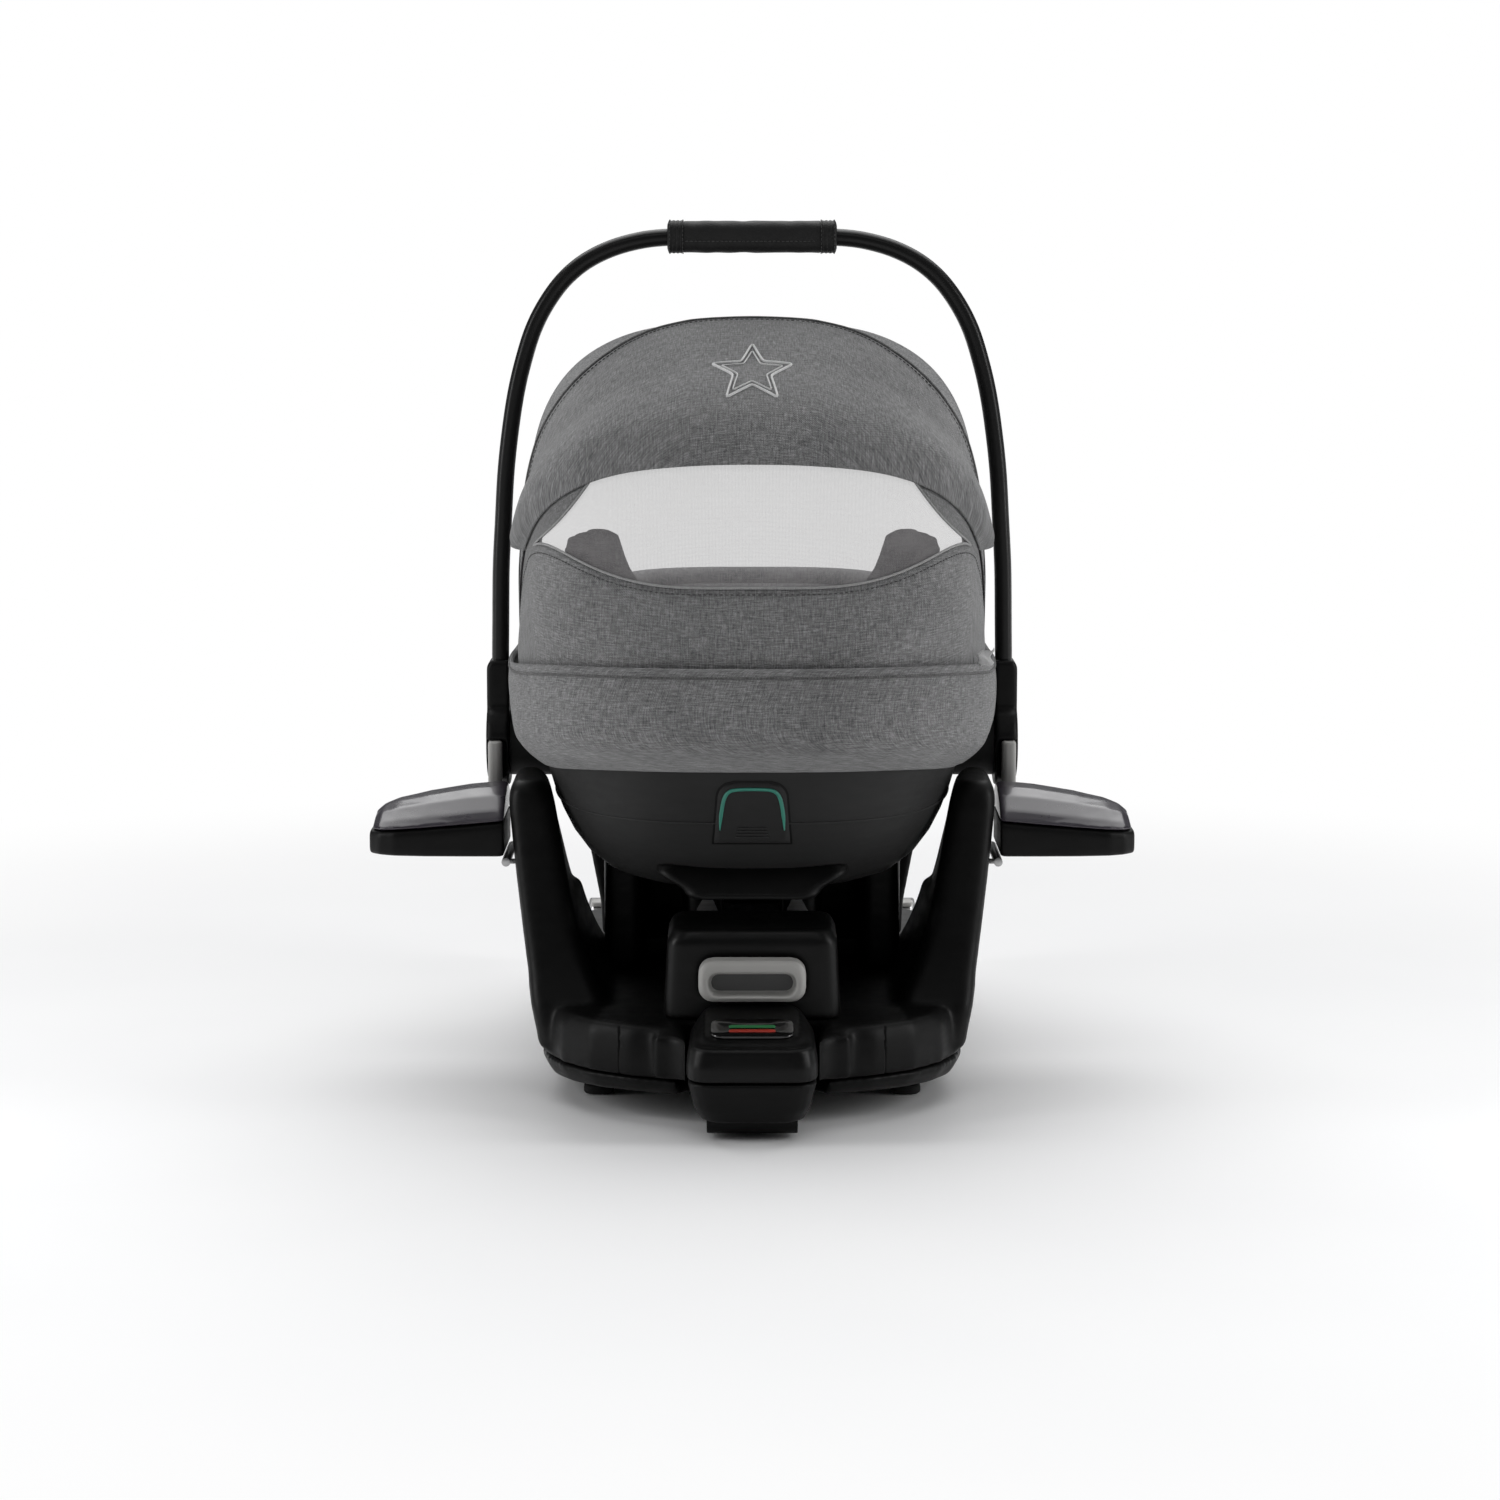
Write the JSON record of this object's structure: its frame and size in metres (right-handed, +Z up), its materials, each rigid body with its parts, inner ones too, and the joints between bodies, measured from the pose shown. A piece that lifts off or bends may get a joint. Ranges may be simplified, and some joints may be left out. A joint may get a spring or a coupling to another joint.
{
  "type": "infant car seat",
  "caption": "Rear-facing infant car seat with folding canopy and carry handle, docked on a vehicle base with fold-down side-impact wings and a folding support leg.",
  "frame": {"origin": "on the floor, at the middle of the overall bounding box", "axes": "+Z up; -Y the head end of the seat, where the release lever and the leg indicator are; +X to the right seen from the head end"},
  "size_m": [0.623, 0.704, 0.6982],
  "materials": {
    "melange_fabric": "grey melange woven polyester",
    "mesh_fabric": "fine open mesh",
    "foam": "moulded energy-absorbing foam",
    "shell_plastic": "fine-textured",
    "base_plastic": "satin moulded",
    "gloss_plastic": "polished",
    "black_tube": "black anodised, satin",
    "leather": "fine-grained black",
    "grey_button": "satin",
    "webbing": "woven belt",
    "red_plastic": "moulded",
    "green_plastic": "moulded",
    "window_plastic": "polished",
    "steel": "zinc plated",
    "rubber": "matt"
  },
  "bodies": {
    "base": {"base_tray": "base_plastic", "base_cover": "base_plastic", "side_arm_left": "base_plastic", "side_arm_right": "base_plastic", "wing_hinge_pin_left": "steel", "wing_hinge_pin_right": "steel", "adjuster_housing": "base_plastic", "nose_cover": "base_plastic", "nose_tray": "base_plastic", "indicator_window": "window_plastic", "indicator_green": "green_plastic", "indicator_red": "red_plastic", "dock_cradle": "base_plastic", "dock_latch": "base_plastic", "foot_pad_left": "rubber", "foot_pad_right": "rubber"},
    "wing_left": {"wing_body_left": "base_plastic", "wing_cover_left": "gloss_plastic"},
    "wing_right": {"wing_body_right": "base_plastic", "wing_cover_right": "gloss_plastic"},
    "adjuster_pull": {"adjuster_pull": "grey_button"},
    "support_leg": {"leg_outer_tube": "base_plastic"},
    "leg_slider": {"leg_inner_tube": "steel", "leg_foot": "rubber"},
    "leg_button": {"leg_height_button": "grey_button"},
    "connector_left": {"connector_arm_left": "steel"},
    "connector_right": {"connector_arm_right": "steel"},
    "connector_button_left": {"connector_button_left": "grey_button"},
    "connector_button_right": {"connector_button_right": "grey_button"},
    "carrier": {"seat_shell": "shell_plastic", "foam_liner": "foam", "seat_pad": "melange_fabric", "rim_skirt": "melange_fabric", "canopy_rear_panel": "melange_fabric", "canopy_window_mesh": "mesh_fabric", "hub_mount_left": "shell_plastic", "hub_mount_right": "shell_plastic", "harness_strap_left": "webbing", "harness_strap_right": "webbing", "shoulder_pad_left": "melange_fabric", "shoulder_pad_right": "melange_fabric", "newborn_insert": "melange_fabric", "harness_buckle": "base_plastic", "crotch_strap": "webbing", "rear_skid": "shell_plastic"},
    "handle": {"handle_tube": "black_tube", "handle_grip": "leather", "handle_hub_left": "base_plastic", "handle_hub_right": "base_plastic"},
    "handle_button_left": {"handle_button_left": "grey_button"},
    "handle_button_right": {"handle_button_right": "grey_button"},
    "canopy_mid": {"canopy_mid_panel": "melange_fabric", "canopy_mid_bow": "black_tube"},
    "canopy_front": {"canopy_front_panel": "melange_fabric", "canopy_front_bow": "black_tube"},
    "headrest": {"headrest": "melange_fabric"},
    "buckle_button": {"buckle_button": "red_plastic"},
    "harness_adjuster": {"harness_adjuster": "grey_button"},
    "release_lever": {"release_lever": "shell_plastic", "lever_trim": "green_plastic"}
  },
  "joints": [
    {"name": "wing_left_fold", "type": "hinge", "parent": "base", "child": "wing_left", "pos_m": [-0.1996, 0, 0.183], "axis": [0, -1, 0], "range_deg": [0, 90]},
    {"name": "wing_right_fold", "type": "hinge", "parent": "base", "child": "wing_right", "pos_m": [0.1996, 0, 0.183], "axis": [0, 1, 0], "range_deg": [0, 90]},
    {"name": "adjuster_pull_out", "type": "slide", "parent": "base", "child": "adjuster_pull", "axis": [0, -1, 0], "range_m": [0, 0.01], "stiffness_N_per_m": 400},
    {"name": "leg_unfold", "type": "hinge", "parent": "base", "child": "support_leg", "pos_m": [0, -0.32, 0.014], "axis": [-1, 0, 0], "range_deg": [0, 90]},
    {"name": "leg_extend", "type": "slide", "parent": "support_leg", "child": "leg_slider", "axis": [0, 1, 0], "range_m": [0, 0.15]},
    {"name": "leg_button_press", "type": "slide", "parent": "support_leg", "child": "leg_button", "axis": [0, 0, -1], "range_m": [0, 0.0014], "stiffness_N_per_m": 400},
    {"name": "connector_left_retract", "type": "slide", "parent": "base", "child": "connector_left", "axis": [0, -1, 0], "range_m": [0, 0.09]},
    {"name": "connector_right_retract", "type": "slide", "parent": "base", "child": "connector_right", "axis": [0, -1, 0], "range_m": [0, 0.09]},
    {"name": "connector_button_left_slide", "type": "slide", "parent": "connector_left", "child": "connector_button_left", "axis": [0, -1, 0], "range_m": [0, 0.006], "stiffness_N_per_m": 400},
    {"name": "connector_button_right_slide", "type": "slide", "parent": "connector_right", "child": "connector_button_right", "axis": [0, -1, 0], "range_m": [0, 0.006], "stiffness_N_per_m": 400},
    {"name": "carrier_lift", "type": "slide", "parent": "base", "child": "carrier", "axis": [0, 0, 1], "range_m": [0, 0.25]},
    {"name": "handle_turn", "type": "hinge", "parent": "carrier", "child": "handle", "pos_m": [0, 0, 0.262], "axis": [1, 0, 0], "range_deg": [-80, 90]},
    {"name": "handle_button_left_press", "type": "slide", "parent": "handle", "child": "handle_button_left", "axis": [1, 0, 0], "range_m": [0, 0.003], "stiffness_N_per_m": 400},
    {"name": "handle_button_right_press", "type": "slide", "parent": "handle", "child": "handle_button_right", "axis": [-1, 0, 0], "range_m": [0, 0.003], "stiffness_N_per_m": 400},
    {"name": "canopy_fold", "type": "hinge", "parent": "carrier", "child": "canopy_mid", "pos_m": [0, 0.018, 0.305], "axis": [1, 0, 0], "range_deg": [0, 22]},
    {"name": "canopy_front_fold", "type": "hinge", "parent": "carrier", "child": "canopy_front", "pos_m": [0, 0.018, 0.305], "axis": [1, 0, 0], "range_deg": [0, 61.1]},
    {"name": "headrest_height", "type": "slide", "parent": "carrier", "child": "headrest", "axis": [0, 0, 1], "range_m": [0, 0.06]},
    {"name": "buckle_button_press", "type": "slide", "parent": "carrier", "child": "buckle_button", "axis": [0, 0, -1], "range_m": [0, 0.003], "stiffness_N_per_m": 400},
    {"name": "harness_adjuster_lift", "type": "hinge", "parent": "carrier", "child": "harness_adjuster", "pos_m": [0, 0.178, 0.2538], "axis": [-1, 0, 0], "range_deg": [0, 30], "stiffness_Nm_per_rad": 0.3},
    {"name": "release_lever_pull", "type": "slide", "parent": "carrier", "child": "release_lever", "axis": [0, -0.4718, 0.8817], "range_m": [0, 0.008], "stiffness_N_per_m": 400}
  ],
  "couplings": [
    {"joint": "connector_right_retract", "follows": "connector_left_retract", "ratio": 1},
    {"joint": "canopy_front_fold", "follows": "canopy_fold", "ratio": 2.7727}
  ]
}
